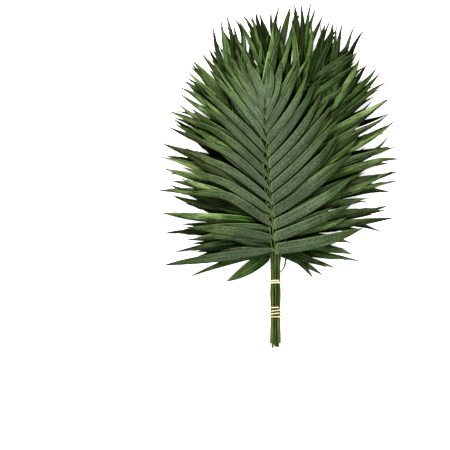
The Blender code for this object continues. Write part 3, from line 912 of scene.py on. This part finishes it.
def leaf_material():
    """Satin leaf: parallel veins, a pale rib, mottled greens and dark tips, with painted sheen, a painted
    rim highlight, a painted shadow line and painted shade.
    """
    made, tree, shader = new_material("leaf")
    across, along, seed = attribute(tree, "leaf_place")
    depth, yellow, under = attribute(tree, "leaf_tone")
    # Each leaflet's own random tone, partly painted shade: deep in the bunch many leaflets go near black,
    # as if turned from the light.
    own = reshuffled(tree, seed, SHADE_SEED)
    deep = calc(tree, "MULTIPLY_ADD", calc(tree, "POWER", own, 2.0), *DEEP_SHADE)
    even = calc(tree, "MULTIPLY_ADD", calc(tree, "SUBTRACT", own, 0.5), *EVEN_SHADE)
    shade = calc(tree, "MULTIPLY_ADD", depth, deep, even)
    shifted = calc(tree, "MULTIPLY", seed, SEED_SPREAD)
    fine, veins, broad, patch, speck = (
        leaf_noise(tree, across, along, shifted, *waves) for waves in (FINE, VEINS, BROAD, PATCH, SPECK)
    )
    reach = calc(tree, "ABSOLUTE", calc(tree, "MULTIPLY_ADD", across, 2.0, -1.0))
    green = blend(tree, step_up(tree, broad, 0.30, 0.72), DEEP_GREEN, LEAF_GREEN)
    outward = step_up(tree, along, 0.42, 0.86)
    olive = step_up(tree, reshuffled(tree, seed, OLIVE_SEED), 0.60, 0.95)
    green = tint(tree, green, calc(tree, "MULTIPLY", olive, 0.55), outward, OLIVE)
    # Painted sheen: a grey veil over the upper fronds' green, strongest near the rachis and fading toward
    # the tips.
    sheen_fade = calc(tree, "MULTIPLY_ADD", outward, -0.85, 1.0)
    painted_sheen = calc(tree, "MULTIPLY", calc(tree, "SUBTRACT", 1.0, depth), sheen_fade)
    colour = tint(tree, green, painted_sheen, 0.97, SHEEN_GREY_GREEN)
    outer = step_up(tree, along, 0.28, 0.56)
    warm = calc(tree, "MULTIPLY", calc(tree, "MULTIPLY", yellow, outer), step_up(tree, patch, 0.36, 0.62))
    colour = tint(tree, colour, warm, 0.90, YELLOW_GREEN)
    pale = blend(tree, depth, PALE_RIB_AND_HIGHLIGHT, PALE_GREEN)
    for mark, low, high, strength, other in (
        (veins, 0.50, 0.72, 0.28, pale),
        (veins, 0.50, 0.28, 0.45, DEEP_GREEN),
        (fine, 0.48, 0.25, 0.40, DEEP_GREEN),
        (speck, 0.54, 0.70, 0.24, pale),
        (speck, 0.46, 0.30, 0.35, DEEP_GREEN),
    ):
        colour = tint(tree, colour, step_up(tree, mark, low, high), strength, other)
    # A pale midrib of the leaflet's own, and a pale rim along its tip-side edge that is a painted
    # highlight.
    rib = calc(tree, "SUBTRACT", 1.0, step_up(tree, reach, 0.02, 0.10))
    rim = step_up(tree, across, 0.88, 0.95)
    rib_and_rim_highlight = calc(tree, "MAXIMUM", calc(tree, "MULTIPLY", rib, 0.30), calc(tree, "MULTIPLY", rim, 0.50))
    colour = blend(tree, rib_and_rim_highlight, colour, PALE_RIB_AND_HIGHLIGHT)
    # Painted shadow: a dark line along the leaflet's edge toward the frond's base.
    colour = tint(tree, colour, step_up(tree, across, 0.11, 0.04), 0.85, PAINTED_EDGE_SHADOW)
    colour = tint(tree, colour, step_up(tree, along, 0.030, 0.008), 0.6, PALE_RIB_AND_HIGHLIGHT)
    colour = tint(tree, colour, under, 0.8, UNDERSIDE)
    ends = calc(tree, "ADD", along, calc(tree, "MULTIPLY", patch, 0.10))
    colour = tint(tree, colour, step_up(tree, ends, 0.95, 1.05), 0.8, TIP_BROWN)
    cloud = calc(tree, "MULTIPLY_ADD", calc(tree, "ADD", patch, speck), 0.9, 0.10)
    shade = calc(tree, "MULTIPLY", shade, cloud)
    colour = blend(tree, 1.0, colour, combine(tree, shade, shade, shade), "MULTIPLY")
    # Painted shade: darker and greener deep between the leaves.
    colour = blend(tree, 1.0, colour, painted_crevice_shade(tree, LEAF_SHADE_REACH), "MULTIPLY")
    tree.links.new(colour, shader.inputs["Base Color"])
    shader.inputs["Specular IOR Level"].default_value = 0.045
    shader.inputs["Specular Tint"].default_value = LEAF_SHEEN
    gloss = calc(tree, "MULTIPLY_ADD", patch, 0.14, 0.22)
    tree.links.new(gloss, shader.inputs["Roughness"])
    ridge = bump(tree, fine, 0.35, 0.0004)
    ridge = bump(tree, veins, 0.40, 0.0008, ridge)
    tree.links.new(bump(tree, broad, 0.35, 0.0020, ridge), shader.inputs["Normal"])
    return made


def stalk_material():
    """Glossy petiole, dark green streaked with yellow that is partly painted highlight, paler along the
    rachis and at its nodes.
    """
    made, tree, shader = new_material("stalk")
    around, length, seed = attribute(tree, "leaf_place")
    blade, node, _ = attribute(tree, "leaf_tone")
    shifted = calc(tree, "MULTIPLY", seed, SEED_SPREAD)
    streak = ring_noise(tree, around, length, 3.0, 3.0, 3.0, 0.6, shifted)
    mottle = ring_noise(tree, around, length, 3.0, 30.0, 2.0, 0.5, shifted)
    # Pale streaks: partly the petiole's own yellow stripes, partly painted highlights.
    stem = blend(tree, step_up(tree, streak, 0.46, 0.57), STEM_DARK, STEM_STREAK_AND_HIGHLIGHT)
    stem = tint(tree, stem, step_up(tree, mottle, 0.55, 0.75), 0.4, STEM_FLECK)
    rachis = blend(tree, step_up(tree, mottle, 0.35, 0.65), RACHIS_DARK, RACHIS_LIGHT)
    colour = blend(tree, blade, stem, rachis)
    colour = tint(tree, colour, node, 0.6, NODE_PALE)
    # Painted shade: darker deep between the stalks.
    colour = blend(tree, 1.0, colour, painted_crevice_shade(tree, STALK_SHADE_REACH), "MULTIPLY")
    tree.links.new(colour, shader.inputs["Base Color"])
    tree.links.new(calc(tree, "MULTIPLY_ADD", streak, 0.2, 0.10), shader.inputs["Roughness"])
    shader.inputs["Specular IOR Level"].default_value = 0.10
    shader.inputs["Specular Tint"].default_value = STEM_SHEEN
    tree.links.new(bump(tree, streak, 0.3, 0.0004), shader.inputs["Normal"])
    return made


def cut_material():
    """The cut face of a stem: pale, with fibres."""
    made, tree, shader = new_material("cut_face")
    coordinates = tree.nodes.new("ShaderNodeTexCoord").outputs["Object"]
    dots = noise(tree, coordinates, 2600.0, 1.0)
    colour = blend(tree, step_up(tree, dots, 0.42, 0.62), CUT_DARK, CUT_LIGHT)
    tree.links.new(colour, shader.inputs["Base Color"])
    shader.inputs["Roughness"].default_value = 0.7
    tree.links.new(bump(tree, dots, 0.4, 0.0002), shader.inputs["Normal"])
    return made


def cord_material():
    """Cream cord with fine fibres along it."""
    made, tree, shader = new_material("cord")
    around, wound, _ = attribute(tree, "leaf_place")
    fibre = ring_noise(tree, around, wound, 5.0, 6.0, 3.0, 0.6)
    colour = blend(tree, step_up(tree, fibre, 0.32, 0.62), CORD_DARK, CORD_LIGHT)
    tree.links.new(colour, shader.inputs["Base Color"])
    shader.inputs["Roughness"].default_value = 0.62
    tree.links.new(bump(tree, fibre, 0.5, 0.0003), shader.inputs["Normal"])
    return made


def floor_material():
    """Plain near-white studio paper on a faintly lit table, so that shadows on it stay pale."""
    made, tree, shader = new_material("floor")
    coordinates = tree.nodes.new("ShaderNodeTexCoord").outputs["Object"]
    grain = noise(tree, coordinates, 40.0, 3.0)
    colour = blend(tree, grain, PAPER_DARK, PAPER_LIGHT)
    tree.links.new(colour, shader.inputs["Base Color"])
    shader.inputs["Roughness"].default_value = 0.9
    shader.inputs["Specular IOR Level"].default_value = 0.1
    shader.inputs["Emission Color"].default_value = WHITE
    shader.inputs["Emission Strength"].default_value = TABLE_GLOW
    return made


def make_fronds(materials):
    """Each frond's leaflets and its stalk, in place of its solid."""
    for number, frond in enumerate(FRONDS):
        node = f"frond_{number + 1:02d}"
        line = plan_line(frond)
        draw = np.random.default_rng(SEED * SEEDS_APART + number)
        leaves = []
        for count in range(LOOKS[number].pairs):
            for side in (-1, 1):
                leaves.append(blade_solid(grow_leaf(frond, number, line, count, side, draw)))
        blades = build_mesh(node + "_leaflets", leaves, (materials["leaf"],))
        stalk_tube = stalk_part(frond, number, line, draw)
        stalk = build_mesh(node + "_stalk", [stalk_tube], (materials["stalk"], materials["cut"]))
        for piece in (blades, stalk):
            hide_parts(node)
            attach(piece, "root")


def make_ties(materials):
    """The wound cords in place of the two bands."""
    draw = np.random.default_rng(SEED)
    upper = cord_part(0.0, UPPER_TURNS, UPPER_TURN_PITCH, UPPER_CORD_HALF_WIDTH, draw)
    first_lower = LOWER_TIE_START - LOWER_CORD_INSET
    lower = cord_part(first_lower, LOWER_TURNS, LOWER_TURN_PITCH, LOWER_CORD_HALF_WIDTH, draw)
    for node, part in (("tie_upper", upper), ("tie_lower", lower)):
        piece = build_mesh(node + "_cord", [part], (materials["cord"],))
        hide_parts(node)
        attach(piece, "root")


def make_floor(material):
    """The pale floor."""
    mesh = bpy.data.meshes.new("floor")
    half = FLOOR_HALF_SIDE
    corners = [(-half, -half, 0), (half, -half, 0), (half, half, 0), (-half, half, 0)]
    mesh.from_pydata(corners, [], [(0, 1, 2, 3)])
    mesh.materials.append(material)
    floor = add_object("floor", mesh)


def make_softbox(name, azimuth, elevation, size, energy):
    """A softbox that faces the bunch, seen from its middle at a bearing from +Y and a height."""
    data = bpy.data.lights.new(name, "AREA")
    data.shape = "RECTANGLE"
    data.size, data.size_y = size
    data.energy = energy
    turned, raised = math.radians(azimuth), math.radians(elevation)
    level = math.cos(raised)
    away = Vector((math.sin(turned) * level, math.cos(turned) * level, math.sin(raised)))
    box = add_object(name, data)
    box.location = Vector(BUNCH_MIDDLE) + away * SOFTBOX_DISTANCE
    box.rotation_mode = "QUATERNION"
    box.rotation_quaternion = (-away).to_track_quat("-Z", "Y")


def make_light():
    """A key softbox beyond the leaf tips, a weaker one by the stems, and a pale world."""
    make_softbox("key", *KEY_LIGHT)
    make_softbox("fill", *FILL_LIGHT)
    world = bpy.data.worlds.new("studio")
    world.use_nodes = True
    background = world.node_tree.nodes["Background"]
    background.inputs["Color"].default_value = WORLD_COLOUR
    background.inputs["Strength"].default_value = WORLD_STRENGTH
    bpy.context.scene.world = world


def make_camera():
    """The camera looks straight down, as in the photograph, and a pixel has its size at the height
    of the leaves."""
    data = bpy.data.cameras.new("camera")
    data.lens = LENS
    data.sensor_width = SENSOR
    middle = PHOTO_PIXELS / 2
    x = (middle - TIE_PIXEL[0]) * PIXEL
    y = (TIE_PIXEL[1] - middle) * PIXEL
    height = PHOTO_PIXELS * PIXEL * data.lens / data.sensor_width
    camera = add_object("camera", data)
    camera.location = (x, y, height + SCALE_HEIGHT)
    bpy.context.scene.camera = camera


def main():
    """Dress the bunch and set the stage."""
    bpy.context.scene.view_settings.view_transform = "Standard"
    materials = {
        "leaf": leaf_material(),
        "stalk": stalk_material(),
        "cut": cut_material(),
        "cord": cord_material(),
    }
    make_fronds(materials)
    make_ties(materials)
    make_floor(floor_material())
    make_light()
    make_camera()
    bpy.context.view_layer.update()


main()
